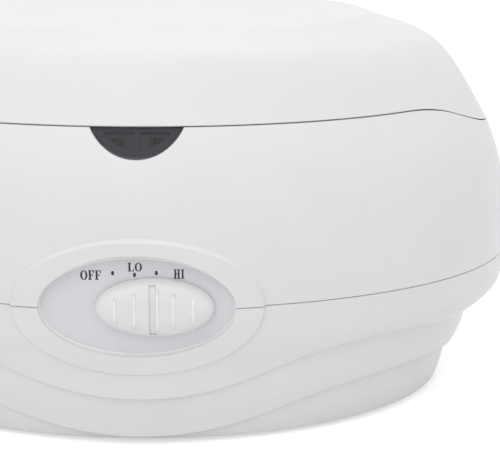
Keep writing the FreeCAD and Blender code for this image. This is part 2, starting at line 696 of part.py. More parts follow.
def make_wax_tank():
    """Aluminium tank: a drafted oval bowl with a rounded floor, a flat flange and four heater studs."""
    outer = bowl("tank_outer", 0, S.tank_base_z)
    inner = bowl("tank_inner", S.tank_wall, tank_floor)
    flange = prism("tank_rim", S.well_a - S.flange_gap, S.well_b - S.flange_gap, gasket_top, flange_top)
    pieces = [outer, flange]
    for index, (x, y) in enumerate(stud_places()):
        pieces.append(rod(f"stud_{index}", S.stud_radius, (x, y, S.tank_base_z - S.stud_long), S.stud_long))
    holes = []
    for index, (x, y) in enumerate(flange_screw_places()):
        radius = S.flange_screw_radius + S.screw_gap
        holes.append(rod(f"flange_hole_{index}", radius, (x, y, gasket_top), S.tank_flange))
    return cut("wax_tank", fuse("tank_pieces", *pieces), inner, *holes)


def bowl(name, inset, low):
    """The tank's oval shape, drawn in by an inset, with its floor edge rounded in steps."""
    ovals = [(S.tank_a - inset, S.tank_b - inset, flange_top)]
    radius = S.tank_round - inset
    steps = 5
    for step in range(steps + 1):
        turn = math.pi / 2 * step / steps
        narrow = S.tank_draft + inset + radius * (1 - math.cos(turn))
        ovals.append((S.tank_a - narrow, S.tank_b - narrow, low + radius * (1 - math.sin(turn))))
    return stack(name, ovals, ruled=True)


def stud_places():
    """Where the four heater studs stand under the tank."""
    return [(S.stud_x, length(0)), (-S.stud_x, length(0)), (length(0), S.stud_y), (length(0), -S.stud_y)]


def make_tank_gasket():
    """Silicone gasket between ledge and tank flange."""
    outer = prism("gasket_outer", S.well_a - S.flange_gap, S.well_b - S.flange_gap, ledge_z, gasket_top)
    inner = prism("gasket_inner", S.tank_a + S.tank_gap, S.tank_b + S.tank_gap, ledge_z, gasket_top)
    holes = []
    for index, (x, y) in enumerate(flange_screw_places()):
        radius = S.flange_screw_radius + S.screw_gap
        holes.append(rod(f"gasket_hole_{index}", radius, (x, y, ledge_z), S.gasket))
    return cut("tank_gasket", outer, inner, *holes)


def make_tank_screws():
    """Six pan-head screws that hold the tank flange down on its ledge."""
    screws = []
    for index, (x, y) in enumerate(flange_screw_places()):
        radius, reach = S.flange_screw_radius, S.flange_screw_length
        head = rod(f"tank_screw_head_{index}", radius * 1.7, (x, y, flange_top), radius)
        shank = rod(f"tank_screw_shank_{index}", radius, (x, y, flange_top - reach), reach)
        screws.append(fuse(f"tank_screw_{index}", head, shank))
    return group("tank_screws", *screws)


def make_tank_grate():
    """Slotted grate that keeps hands off the hot floor, on short legs."""
    low = tank_floor + S.grate_leg
    high = low + S.grate_thick
    border = S.grate_border
    plate = prism("grate_plate", S.grate_a, S.grate_b, low, high)
    inside = prism("grate_field", S.grate_a - border, S.grate_b - border, low, high)
    slots = []
    span = int((S.grate_a - border).value / S.grate_pitch.value)
    for index in range(-span, span + 1):
        middle = S.grate_pitch * index
        across = (middle - S.grate_slot / 2, middle + S.grate_slot / 2)
        slots.append(bar(f"grate_bar_{index + span}", across, (-S.grate_b, S.grate_b), (low, high)))
    slotted = cut("grate_slotted", plate, common("grate_slots", inside, fuse("grate_bars", *slots)))
    legs = []
    leg_a = S.grate_a - border / 2
    leg_b = S.grate_b - border / 2
    for index, degrees in enumerate(range(45, 405, 90)):
        turn = math.radians(degrees)
        at = (leg_a * math.cos(turn), leg_b * math.sin(turn), tank_floor)
        legs.append(rod(f"grate_leg_{index}", S.grate_leg_radius, at, S.grate_leg + S.grate_thick / 2))
    return fuse("tank_grate", slotted, *legs)


def oval_ring(name, half_x, half_y, band, low, high, bore):
    """A flat oval ring with four stud holes."""
    outer = prism(f"{name}_outer", half_x, half_y, low, high)
    inner = prism(f"{name}_inner", half_x - band, half_y - band, low, high)
    holes = []
    for index, (x, y) in enumerate(stud_places()):
        holes.append(rod(f"{name}_hole_{index}", bore, (x, y, low), length(high) - low))
    return cut(name, outer, inner, *holes)


def make_heater():
    """Flat mica heater and the steel plate that clamps it up against the tank."""
    bore = S.stud_radius + S.stud_gap
    oval_ring("heater_element", S.heater_a, S.heater_b, S.heater_band, clamp_top, S.tank_base_z, bore)
    clamp_a = S.heater_a + S.clamp_over
    clamp_b = S.heater_b + S.clamp_over
    clamp_band = S.heater_band + S.clamp_over * 2
    oval_ring("heater_clamp", clamp_a, clamp_b, clamp_band, clamp_under, clamp_top, bore)
    nuts = []
    for index, (x, y) in enumerate(stud_places()):
        thick = S.stud_nut_thick
        at = (x, y, clamp_under - thick)
        nuts.append(nut(f"clamp_nut_{index}", S.stud_nut_flats, S.stud_radius + S.thread_gap, at, thick))
    group("clamp_nuts", *nuts)


def make_fuse():
    """Thermal fuse in a ceramic holder under the clamp plate."""
    low = clamp_under - S.fuse_holder_z
    block = bar("fuse_block", (S.fuse_x - S.fuse_holder_x / 2, S.fuse_x + S.fuse_holder_x / 2),
                (S.fuse_y - S.fuse_holder_y / 2, S.fuse_y + S.fuse_holder_y / 2), (low, clamp_under))
    middle_z = low + S.fuse_holder_z / 2
    start = (S.fuse_x - S.fuse_long / 2, S.fuse_y, middle_z)
    cut("fuse_holder", block, rod("fuse_bore", S.fuse_radius + S.fuse_gap, start, S.fuse_long, "x"))
    body = turned_body("thermal_fuse", [
        (0, 0),
        (S.fuse_radius * 0.5, 0),
        (S.fuse_radius, S.fuse_radius),
        (S.fuse_radius, S.fuse_long - S.fuse_radius),
        (S.fuse_radius * 0.5, S.fuse_long),
        (0, S.fuse_long),
    ])
    turned(body, V(0, 1, 0), 90)
    place(body, *start)


def make_blanket():
    """Insulating blanket wrapped round the tank wall."""
    outer = prism("blanket_outer", S.tank_a + S.blanket_thick, S.tank_b + S.blanket_thick, S.blanket_low_z,
                  S.blanket_high_z)
    return cut("insulation_blanket", outer, bowl("blanket_inner", -S.blanket_gap, S.tank_base_z))


def make_control_panel():
    """Recessed oval panel with a rear flange that seats on the collar, and the knob's slot."""
    plate = front_prism("panel_plate", S.panel_a, S.panel_b, flange_back, panel_front)
    flange = front_prism("panel_rim", collar_a, collar_b, flange_back, panel_back)
    half = S.knob_travel + S.stem_x / 2 + S.stem_gap
    tall = S.stem_z / 2 + S.stem_gap
    heights = (panel_z - tall, panel_z + tall)
    slot = bar("panel_slot", (-half, half), (-panel_front, -flange_back), heights)
    holes = []
    for index, (x, z) in enumerate(guide_screw_places()):
        holes.append(front_rod_at(f"panel_pilot_{index}", S.flange_screw_radius + S.thread_gap, x, z,
                                  flange_back, flange_back + S.panel_flange))
    return cut("control_panel", fuse("panel_pieces", plate, flange), slot, *holes)


def front_rod_at(name, radius, x, z, near, far):
    """A cylinder along Y at a given X and Z, between two distances in front of the middle."""
    return rod(name, radius, (x, -far, z), length(far) - near, "y")


carriage_edge = S.carriage_tall / 2
guide_inner = carriage_edge + S.guide_gap
guide_outer = guide_inner + S.guide_tall
guide_back = flange_back - S.slide_gap * 2 - S.carriage_plate
lip_back = guide_back - S.guide_lip_thick
carriage_front = flange_back - S.slide_gap
carriage_back = carriage_front - S.carriage_plate


def guide_screw_places():
    """Where the four guide screws stand on the back of the panel."""
    middle = guide_inner + S.guide_tall / 2
    x = S.guide_long / 2 - S.guide_tall
    return [(x * sx, panel_z + middle * sz) for sx in (-1, 1) for sz in (-1, 1)]


def make_guide(name, side):
    """One L-shaped guide rail: a strip on the panel's back with a lip behind the carriage's edge."""
    far_edge = panel_z + guide_outer * side
    heights = ordered(panel_z + guide_inner * side, far_edge)
    lip = ordered(panel_z + (guide_inner - S.guide_lip) * side, far_edge)
    reach = (-S.guide_long / 2, S.guide_long / 2)
    strip = bar(f"{name}_strip", reach, (-flange_back, -guide_back), heights)
    edge = bar(f"{name}_lip", reach, (-guide_back, -lip_back), lip)
    holes = []
    for index, (x, z) in enumerate(guide_screw_places()):
        if (z.value > panel_z.value) == (side > 0):
            holes.append(front_rod_at(f"{name}_hole_{index}", S.flange_screw_radius + S.thread_gap, x, z,
                                      lip_back, flange_back))
    return cut(name, fuse(f"{name}_pieces", strip, edge), *holes)


def make_guide_screws():
    """Four small screws that hold the guides to the panel."""
    screws = []
    for index, (x, z) in enumerate(guide_screw_places()):
        radius = S.flange_screw_radius
        head_back = lip_back - radius * 0.7
        tip = flange_back + S.panel_flange * 0.8
        head = front_rod_at(f"guide_screw_head_{index}", radius * 1.6, x, z, head_back, lip_back)
        shank = front_rod_at(f"guide_screw_shank_{index}", radius, x, z, lip_back, tip)
        screws.append(fuse(f"guide_screw_{index}", head, shank))
    return group("guide_screws", *screws)


def knob_dome(name, forward=0):
    """The knob's oval crown, moved forward by a given amount."""
    half_x, half_z = S.knob_a, S.knob_b
    rise = S.knob_height
    return front_stack(name, [
        (half_x, half_z, -knob_foot - forward),
        (half_x, half_z, -knob_foot - rise * 0.3 - forward),
        (half_x - rise * 0.12, half_z - rise * 0.12, -knob_foot - rise * 0.58 - forward),
        (half_x - rise * 0.42, half_z - rise * 0.42, -knob_foot - rise * 0.84 - forward),
        (half_x - rise * 1.05, half_z - rise * 1.0, -knob_foot - rise - forward),
    ], panel_z, ruled=False)


def make_slide_knob():
    """Oval slide knob with four grip ribs, a grooved index and a stem through the panel's slot."""
    dome = knob_dome("knob_crown")
    front = (-reach_y, -knob_foot)
    groove = bar("index_slot", (-S.index_side - S.index_width / 2, S.index_width / 2 - S.index_side), front,
                 (panel_z - S.index_long / 2, panel_z + S.index_long / 2))
    groove = cut("index_groove", groove, knob_dome("knob_core", -S.index_depth))
    raised = []
    ribs = [((S.index_width + S.rib_width) / 2 - S.index_side, S.index_long - S.rib_width * 2)]
    for step, long in ((-2, S.rib_short), (-1, S.rib_long), (1, S.rib_long), (2, S.rib_short)):
        ribs.append((S.rib_pitch * step, long))
    for index, (middle, tall) in enumerate(ribs):
        raised.append(bar(f"knob_rib_{index}", (middle - S.rib_width / 2, middle + S.rib_width / 2), front,
                          (panel_z - tall / 2, panel_z + tall / 2)))
    lifted = common("knob_ribs", fuse("knob_rib_bars", *raised), knob_dome("knob_rib_skin", S.rib_height))
    lifted = common("knob_ribs_level", lifted, bar("knob_level", (-reach_x, reach_x), (-knob_front, 0),
                                                   (0, S.plateau_z)))
    stem = bar("knob_stem", (-S.stem_x / 2, S.stem_x / 2), (-knob_foot, -rack_front),
               (panel_z - S.stem_z / 2, panel_z + S.stem_z / 2))
    return place(fuse("slide_knob", cut("knob_grooved", dome, groove), lifted, stem), x=S.knob_rest)


def rack_outline():
    """Outline of the toothed bar under the carriage, seen from the front, one tooth on its middle."""
    module, play = S.tooth_module.value, S.backlash.value
    slope = math.tan(math.radians(20))
    pitch = math.pi * module
    pitch_line = pitch_z.value
    root = pitch_line + S.dedendum.value
    tip = pitch_line - S.addendum.value
    half_pitch_width = (pitch / 2 - play / 2) / 2
    half_root = half_pitch_width + S.dedendum.value * slope
    half_tip = half_pitch_width - S.addendum.value * slope
    half_long = S.rack_long.value / 2
    teeth = int((half_long - half_root) / pitch)
    points = [V(-half_long, 0, root + S.rack_bar.value), V(-half_long, 0, root)]
    for tooth in range(-teeth, teeth + 1):
        for offset, height in ((-half_root, root), (-half_tip, tip), (half_tip, tip), (half_root, root)):
            points.append(V(tooth * pitch + offset, 0, height))
    points += [V(half_long, 0, root), V(half_long, 0, root + S.rack_bar.value)]
    return points


def make_knob_carriage():
    """Carriage behind the panel: a plate in the guides, a block round the stem, a leg and a rack.

    The plate's lower corners are notched, to pass the shell's curve.
    """
    plate = bar("carriage_plate_bar", (-S.carriage_a, S.carriage_a), (-carriage_front, -carriage_back),
                (panel_z - carriage_edge, panel_z + carriage_edge))
    half = S.block_x / 2
    block = bar("carriage_block", (-half, half), (-carriage_back, -rack_back),
                (panel_z - S.block_z / 2, panel_z + S.block_z / 2))
    bar_low = pitch_z + S.dedendum
    leg = bar("carriage_leg", (-half, half), (-rack_front, -rack_back), (bar_low, panel_z))
    points = rack_outline()
    face = Part.Face(Part.makePolygon(points + points[:1]))
    rack = coded("carriage_rack", face.extrude(V(0, S.rack_thick.value, 0)))
    place(rack, y=-rack_front)
    gap = S.stem_gap / 5
    socket = bar("stem_socket", (-S.stem_x / 2 - gap, S.stem_x / 2 + gap), (-carriage_front, -rack_front),
                 (panel_z - S.stem_z / 2 - gap, panel_z + S.stem_z / 2 + gap))
    heights = (panel_z - carriage_edge - S.slide_gap, panel_z - S.notch_above)
    depths = (-carriage_front - S.slide_gap, -carriage_back + S.slide_gap)
    notches = []
    for name, side in (("left", -1), ("right", 1)):
        span = ordered(S.notch_from * side, (S.carriage_a + S.slide_gap) * side)
        notches.append(bar(f"carriage_notch_{name}", span, depths, heights))
    pieces = fuse("carriage_pieces", plate, block, leg, rack)
    return place(cut("knob_carriage", pieces, socket, *notches), x=S.knob_rest)


def pinion_outline():
    """Outline of the pinion about its axis, seen from the front, a gap at its top."""
    module, teeth = S.tooth_module.value, int(S.pinion_teeth.value)
    pitch_radius = module * teeth / 2
    pressure = math.radians(20)
    base_radius = pitch_radius * math.cos(pressure)
    tip_radius = pitch_radius + S.addendum.value
    root_radius = pitch_radius - S.dedendum.value
    half_tooth = (math.pi * module / 2 - S.backlash.value / 2) / 2 / pitch_radius
    half_base = half_tooth + math.tan(pressure) - pressure
    tip_roll = math.sqrt((tip_radius / base_radius) ** 2 - 1)
    flank = [(root_radius, half_base)]
    for step in range(4):
        roll = tip_roll * step / 3
        flank.append((base_radius * math.hypot(1, roll), half_base - (roll - math.atan(roll))))
    points = []
    for tooth in range(teeth):
        middle = 2 * math.pi * (tooth + 0.5) / teeth
        for side, row in ((-1, flank), (1, flank[::-1])):
            for radius, spread in row:
                turn = middle + side * spread
                points.append(V(radius * math.sin(turn), 0, radius * math.cos(turn)))
    return points


def make_drive_pinion():
    """Pinion on the thermostat spindle, turned to mesh with the rack where the knob rests."""
    points = pinion_outline()
    thick = pinion_front - pinion_back
    face = Part.Face(Part.makePolygon(points + points[:1]))
    blank = coded("pinion_blank", face.extrude(V(0, thick.value, 0)))
    bore = rod("pinion_bore", S.spindle_radius + S.spindle_gap / 2, (0, 0, 0), thick, "y")
    pinion = cut("drive_pinion", blank, bore)
    turned(pinion, V(0, 1, 0), math.degrees((S.knob_rest / pinion_radius).value))
    return place(pinion, y=-pinion_front, z=pinion_z)


def make_spindle():
    """Thermostat spindle that carries the pinion."""
    tip = S.spindle_radius * 0.2
    reach = pinion_front + S.spindle_end - bracket_back + S.spindle_seat
    spindle = turned_body("thermostat_spindle", [
        (0, 0),
        (S.spindle_radius, 0),
        (S.spindle_radius, reach - tip),
        (S.spindle_radius - tip, reach),
        (0, reach),
    ])
    turned(spindle, V(1, 0, 0), 90)
    return place(spindle, y=pinion_front * -1 - S.spindle_end + reach, z=pinion_z)


def make_thermostat():
    """Thermostat body with a threaded bush, its bracket and the nut that clamps the two."""
    back = bracket_back - S.thermostat_y
    half_x, half_z = S.thermostat_x / 2, S.thermostat_z / 2
    heights = (pinion_z - half_z, pinion_z + half_z)
    case = bar("thermostat_case", (-half_x, half_x), (-bracket_back, -back), heights)
    bush_front = nut_front + S.bush_proud - S.nut_gap
    bush = front_rod("thermostat_bush", S.bush_radius, pinion_z, bracket_back, bush_front)
    bore = front_rod("thermostat_bore", S.spindle_radius + S.spindle_gap, pinion_z,
                     bracket_back - S.spindle_seat - S.spindle_gap, bush_front)
    cut("thermostat_body", fuse("thermostat_pieces", case, bush), bore)
    at = (0, -nut_front, pinion_z)
    nut("thermostat_nut", S.nut_flats, S.bush_radius + S.thread_gap, at, S.nut_thick, "y")


def make_bracket():
    """Sheet-steel angle bracket that stands on two floor bosses and carries the thermostat."""
    sheet_thick = S.bracket_sheet
    top = pinion_z + S.bracket_over
    body = padded_body("bracket_angle", "YZ_Plane", [
        (-bracket_front, bracket_z),
        (-bracket_front + S.bracket_foot, bracket_z),
        (-bracket_front + S.bracket_foot, bracket_z + sheet_thick),
        (-bracket_back, bracket_z + sheet_thick),
        (-bracket_back, top),
        (-bracket_front, top),
    ], S.bracket_wide)
    holes = [front_rod("bracket_hole", S.bush_radius + S.thread_gap, pinion_z, bracket_back, bracket_front)]
    for index, side in enumerate((-1, 1)):
        at = (S.bracket_screw_x * side, -bracket_screw_y, bracket_z)
        holes.append(rod(f"bracket_screw_hole_{index}", S.screw_radius + S.screw_gap, at, sheet_thick))
    return cut("thermostat_bracket", body, *holes)


def make_bracket_screws():
    """Two screws that hold the bracket to the floor bosses."""
    screws = []
    low = bracket_z - S.bracket_boss
    for index, side in enumerate((-1, 1)):
        x = S.bracket_screw_x * side
        top = bracket_z + S.bracket_sheet
        head = rod(f"bracket_screw_head_{index}", S.head_radius, (x, -bracket_screw_y, top), S.head_thick)
        shank = rod(f"bracket_screw_shank_{index}", S.screw_radius, (x, -bracket_screw_y, low), top - low)
        screws.append(fuse(f"bracket_screw_{index}", head, shank))
    return group("bracket_screws", *screws)


def make_housing_screws():
    """Four long-reach screws, up through the base towers into the upper bosses."""
    head_top = S.waist_z - S.screw_under
    screws = []
    for index, (sx, sy) in enumerate(TOWERS):
        x, y = S.tower_x * sx, S.tower_y * sy
        under = head_top - S.head_thick
        reach = S.screw_under + S.screw_grip
        head = rod(f"housing_screw_head_{index}", S.head_radius, (x, y, under), S.head_thick)
        shank = rod(f"housing_screw_shank_{index}", S.screw_radius, (x, y, head_top), reach)
        screws.append(fuse(f"housing_screw_{index}", head, shank))
    return group("housing_screws", *screws)


def make_foot(name, sx, sy):
    """Push-in rubber foot with a bulb above the floor."""
    stem_top = floor_z
    foot = turned_body(name, [
        (0, 0),
        (S.foot_radius - S.foot_chamfer, 0),
        (S.foot_radius, S.foot_chamfer),
        (S.foot_radius, S.foot_lift),
        (S.foot_stem, S.foot_lift),
        (S.foot_stem, stem_top),
        (S.foot_bulb, stem_top),
        (S.foot_stem * 0.6, stem_top + S.foot_bulb_tall),
        (0, stem_top + S.foot_bulb_tall),
    ])
    return place(foot, S.foot_x * sx, S.foot_y * sy, 0)


def make_gland():
    """Cord gland through the rear boss, and the nut that holds it from inside."""
    flange = knob_front - gland_outer
    reach = S.gland_seat + S.gland_nut_thick + S.wall
    gland = turned_body("cord_gland", [
        (S.gland_bore, -flange),
        (S.gland_flange - flange / 3, -flange),
        (S.gland_flange, -flange / 2),
        (S.gland_flange, 0),
        (S.gland_neck, 0),
        (S.gland_neck, reach),
        (S.gland_bore, reach),
    ])
    turned(gland, V(1, 0, 0), 90)
    place(gland, y=gland_outer, z=S.gland_z)
    at = (0, gland_inner - S.gland_nut_thick, S.gland_z)
    ring = rod("gland_nut_ring", S.gland_nut_radius, at, S.gland_nut_thick, "y")
    bore = rod("gland_nut_bore", S.gland_neck + S.gland_gap, at, S.gland_nut_thick, "y")
    cut("gland_nut", ring, bore)


def make_terminals():
    """Terminal block on the floor behind the heater, with a row of clamp screws."""
    low, high = floor_z, floor_z + S.terminal_z
    half = S.terminal_x / 2
    back = S.terminal_at_y + S.terminal_y
    block = bar("terminal_case", (-half, half), (S.terminal_at_y, back), (low, high))
    ways = int(S.terminal_ways.value)
    pitch = S.terminal_x / ways
    wells = []
    screws = []
    for index in range(ways):
        x = pitch * (index - (ways - 1) / 2)
        middle_y = S.terminal_at_y + S.terminal_y / 2
        depth = S.terminal_z / 3
        at = (x, middle_y, high - depth)
        wells.append(rod(f"terminal_well_{index}", S.terminal_hole, at, depth))
        screws.append(rod(f"terminal_screw_{index}", S.terminal_hole - S.thread_gap, at, depth / 2))
    cut("terminal_block", block, *wells)
    group("terminal_screws", *screws)


def lead(name, points):
    """A round lead along straight runs joined by tangent arcs as large as the runs allow."""
    points = [V(*(length(size).value for size in point)) for point in points]
    radius = S.lead_radius.value
    edges = []
    here = points[0]
    for before, corner, after in zip(points, points[1:], points[2:]):
        back = (before - corner).normalize()
        ahead = (after - corner).normalize()
        turn = math.pi - back.getAngle(ahead)
        trim = 0.45 * min(before.distanceToPoint(corner), after.distanceToPoint(corner))
        bend = trim / math.tan(turn / 2)
        toward = (back + ahead).normalize()
        middle = corner + toward * (bend / math.cos(turn / 2) - bend)
        edges.append(line(here, corner + back * trim))
        edges.append(arc(corner + back * trim, middle, corner + ahead * trim))
        here = corner + ahead * trim
    edges.append(line(here, points[-1]))
    path = Part.Wire(edges)
    start = (points[1] - points[0]).normalize()
    profile = Part.Wire(Part.Circle(points[0], start, radius).toShape())
    return coded(name, path.makePipeShell([profile], True, False))


def make_leads():
    """Four insulated leads: supply to thermostat, thermostat to fuse, fuse to supply, and the lamps."""
    radius = S.lead_radius
    terminal_z = floor_z + S.terminal_z / 3
    way = S.terminal_x / 3
    back = -(bracket_back - S.thermostat_y)
    fuse_z = clamp_under - S.fuse_holder_z / 2
    fuse_left = S.fuse_x - S.fuse_long / 2
    fuse_right = S.fuse_x + S.fuse_long / 2
    supply = [
        (-way, S.terminal_at_y, terminal_z),
        (-way, S.terminal_at_y - 30, terminal_z),
        (-way + 4, S.terminal_at_y - 78, terminal_z + 6),
        (-way / 2, back + 44, pinion_z - 4),
        (-S.thermostat_x / 4, back + 18, pinion_z),
        (-S.thermostat_x / 4, back, pinion_z),
    ]
    heat = [
        (S.thermostat_x / 4, back, pinion_z),
        (S.thermostat_x / 4, back + 20, pinion_z),
        (S.thermostat_x / 4 + 6, back + 50, pinion_z + 2),
        (fuse_left - 26, S.fuse_y - 12, fuse_z - 4),
        (fuse_left - 14, S.fuse_y, fuse_z),
        (fuse_left, S.fuse_y, fuse_z),
    ]
    neutral = [
        (fuse_right, S.fuse_y, fuse_z),
        (fuse_right + 12, S.fuse_y, fuse_z),
        (fuse_right + 16, S.fuse_y + 14, fuse_z - 10),
        (fuse_right - 14, S.fuse_y + 30, terminal_z + 10),
        (way, S.terminal_at_y - 16, terminal_z),
        (way, S.terminal_at_y, terminal_z),
    ]
    lamp_x = S.lamp_x
    top = pinion_z + S.thermostat_z / 2
    lamps = [
        (lamp_x, back - 8, top),
        (lamp_x, back - 8, top + 18),
        (lamp_x, -lamp_y + 5, top + 42),
        (lamp_x, -lamp_y, holder_low_z - 20),
        (lamp_x, -lamp_y, holder_low_z),
    ]
    routes = (("supply_lead", supply), ("heat_lead", heat), ("neutral_lead", neutral), ("lamp_lead", lamps))
    return group("wiring_leads", *[lead(name, points) for name, points in routes])


def make_lid():
    """Lid: a domed shell with an end tab at each dip, an inner skirt and a silicone seal."""
    dome = cut("lid_dome", lid_outer, lid_line_block("over_lid_line", S.lid_gap))
    shell = cut("lid_hollow", dome, lid_inner)
    skirt_a = S.well_a - S.skirt_gap
    skirt_b = S.well_b - S.skirt_gap
    ring = cut("skirt_ring", prism("skirt_outer", skirt_a, skirt_b, seal_top, S.plateau_z),
               prism("skirt_inner", skirt_a - S.skirt, skirt_b - S.skirt, seal_top, S.plateau_z))
    half_wall = S.wall / 2
    skirt = common("lid_skirt", ring, skin("skirt_limit", LID_OVALS, half_wall, half_wall, ruled=True))
    fuse("lid_shell", shell, skirt)
    cut("lid_seal", prism("seal_outer", skirt_a, skirt_b, flange_top, seal_top),
        prism("seal_inner", skirt_a - S.skirt, skirt_b - S.skirt, flange_top, seal_top))


make_base_housing()
make_upper_housing()
make_lid()
make_wax_tank()
make_tank_gasket()
make_tank_screws()
make_tank_grate()
make_heater()
make_fuse()
make_blanket()
make_control_panel()
make_guide("guide_upper", 1)
make_guide("guide_lower", -1)
make_guide_screws()
make_slide_knob()
make_knob_carriage()
make_drive_pinion()
make_spindle()
make_thermostat()
make_bracket()
make_bracket_screws()
make_indicator_lens()
make_lamp_holder()
make_lamp("power_lamp", -1)
make_lamp("ready_lamp", 1)
make_housing_screws()
make_gland()
make_terminals()
make_leads()
FEET = {
    "foot_front_left": (-1, -1),
    "foot_front_right": (1, -1),
    "foot_rear_left": (-1, 1),
    "foot_rear_right": (1, 1),
}
for foot_name, (side_x, side_y) in FEET.items():
    make_foot(foot_name, side_x, side_y)

NODES = [
    "base_housing", "upper_housing", "lid_shell", "lid_seal",
    "wax_tank", "tank_gasket", "tank_screws", "tank_grate",
    "heater_element", "heater_clamp", "clamp_nuts", "fuse_holder", "thermal_fuse", "insulation_blanket",
    "control_panel", "guide_upper", "guide_lower", "guide_screws", "slide_knob", "knob_carriage",
    "drive_pinion", "thermostat_spindle", "thermostat_body", "thermostat_nut",
    "thermostat_bracket", "bracket_screws",
    "indicator_lens", "lamp_holder", "power_lamp", "ready_lamp",
    "housing_screws", "cord_gland", "gland_nut", "terminal_block", "terminal_screws", "wiring_leads", *FEET,
]
doc.recompute()
failed = [item.Label for item in doc.Objects if {"Invalid", "Error"} & set(item.State)]
if failed:
    raise RuntimeError(f"not built: {failed}")
for node in NODES:
    shape = doc.getObject(node).Shape
    if shape.isNull() or not shape.isValid() or not shape.Solids:
        raise RuntimeError(f"bad shape: {node}")
for node in NODES:
    doc.getObject(node).Shape.exportStep(f"parts/{node}.step")
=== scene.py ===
"""Looks of the oval wax warmer pot: finishes, printed heat scale, knob ribs, panel bead, studio and camera.

Metres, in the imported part's own frame: +X to the right, the front faces -Y, +Z up.
"""
import json
import math

import bpy
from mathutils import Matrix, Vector


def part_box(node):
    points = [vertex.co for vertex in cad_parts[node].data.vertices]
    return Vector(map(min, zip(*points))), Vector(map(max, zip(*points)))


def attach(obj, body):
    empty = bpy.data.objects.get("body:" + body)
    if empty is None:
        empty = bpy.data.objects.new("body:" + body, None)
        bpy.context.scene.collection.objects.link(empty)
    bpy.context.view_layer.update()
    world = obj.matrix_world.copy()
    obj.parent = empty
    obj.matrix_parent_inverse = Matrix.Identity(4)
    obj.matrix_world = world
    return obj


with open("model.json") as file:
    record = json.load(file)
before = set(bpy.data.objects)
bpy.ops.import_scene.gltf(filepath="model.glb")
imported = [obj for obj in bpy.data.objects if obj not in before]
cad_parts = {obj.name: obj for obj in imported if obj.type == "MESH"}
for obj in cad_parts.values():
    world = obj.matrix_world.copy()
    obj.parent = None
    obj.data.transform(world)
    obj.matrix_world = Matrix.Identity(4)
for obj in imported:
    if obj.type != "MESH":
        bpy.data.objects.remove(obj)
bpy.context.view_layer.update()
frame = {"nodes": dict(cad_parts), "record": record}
NODES = frame["nodes"]
SLOT_OF = {piece["node"]: piece["material_slot"] for piece in frame["record"]["subparts"]}
MM = 0.001


# Materials

# Size of the soft colour patches and of the uneven gloss on a surface, in metres
PATCH_SIZE = 0.03
GLOSS_SIZE = 0.012
# The part of a noise value that is spread over a whole range
NOISE_LOW, NOISE_HIGH = 0.25, 0.75
NOISE_ROUGHNESS = 0.55
GRAIN_STRENGTH = 0.35
EDGE_SAMPLES = 6


def new_material(name):
    """An empty node material with its Principled shader and object coordinates."""
    material = bpy.data.materials.new(name)
    material.use_nodes = True
    nodes = material.node_tree.nodes
    shader = nodes["Principled BSDF"]
    coords = nodes.new("ShaderNodeTexCoord")
    return material, shader, coords.outputs["Object"]


def add_node(material, kind, **settings):
    """A node with some of its inputs and properties set by name."""
    node = material.node_tree.nodes.new(kind)
    for key, value in settings.items():
        if key in node.inputs:
            node.inputs[key].default_value = value
        else:
            setattr(node, key, value)
    return node


def join(material, source, target):
    """A link between two sockets."""
    material.node_tree.links.new(source, target)


def noise(material, coords, grain, detail=3.0, stretch=None):
    """Noise whose features are about grain metres across, drawn out along an axis if asked."""
    node = add_node(material, "ShaderNodeTexNoise", Scale=1.0 / grain, Detail=detail, Roughness=NOISE_ROUGHNESS)
    if stretch:
        mapping = add_node(material, "ShaderNodeMapping")
        mapping.inputs["Scale"].default_value = stretch
        join(material, coords, mapping.inputs["Vector"])
        coords = mapping.outputs["Vector"]
    join(material, coords, node.inputs["Vector"])
    return node.outputs["Fac"]


def spread(material, source, low, high):
    """A noise value mapped to a range."""
    node = add_node(material, "ShaderNodeMapRange")
    node.inputs["From Min"].default_value = NOISE_LOW
    node.inputs["From Max"].default_value = NOISE_HIGH
    node.inputs["To Min"].default_value = low
    node.inputs["To Max"].default_value = high
    join(material, source, node.inputs["Value"])
    return node.outputs["Result"]


def blend_colours(material, factor, first, second, socket):
    """Two colours mixed by a factor, into a colour socket."""
    node = add_node(material, "ShaderNodeMix", data_type="RGBA")
    colour_inputs = [item for item in node.inputs if item.type == "RGBA"]
    colour_inputs[0].default_value = (*first, 1)
    colour_inputs[1].default_value = (*second, 1)
    join(material, factor, node.inputs["Factor"])
    colour_output = [item for item in node.outputs if item.type == "RGBA"][0]
    join(material, colour_output, socket)


def surface(name, colour, tint, roughness, grain, depth, metallic=0.0, edge=0.0, stretch=None, specular=0.5):
    """A solid finish: two near colours in soft patches, uneven gloss, a fine grain and eased edges."""
    material, shader, coords = new_material(name)
    shader.inputs["Metallic"].default_value = metallic
    shader.inputs["Specular IOR Level"].default_value = specular
    patches = noise(material, coords, PATCH_SIZE, 2.0, stretch)
    blend_colours(material, spread(material, patches, 0.0, 1.0), colour, tint, shader.inputs["Base Color"])
    gloss = noise(material, coords, GLOSS_SIZE, 4.0, stretch)
    join(material, spread(material, gloss, roughness[0], roughness[1]), shader.inputs["Roughness"])
    bump = add_node(material, "ShaderNodeBump", Strength=GRAIN_STRENGTH, Distance=depth)
    join(material, noise(material, coords, grain, 4.0, stretch), bump.inputs["Height"])
    if edge:
        bevel = add_node(material, "ShaderNodeBevel", samples=EDGE_SAMPLES, Radius=edge)
        join(material, bevel.outputs["Normal"], bump.inputs["Normal"])
    join(material, bump.outputs["Normal"], shader.inputs["Normal"])
    return material


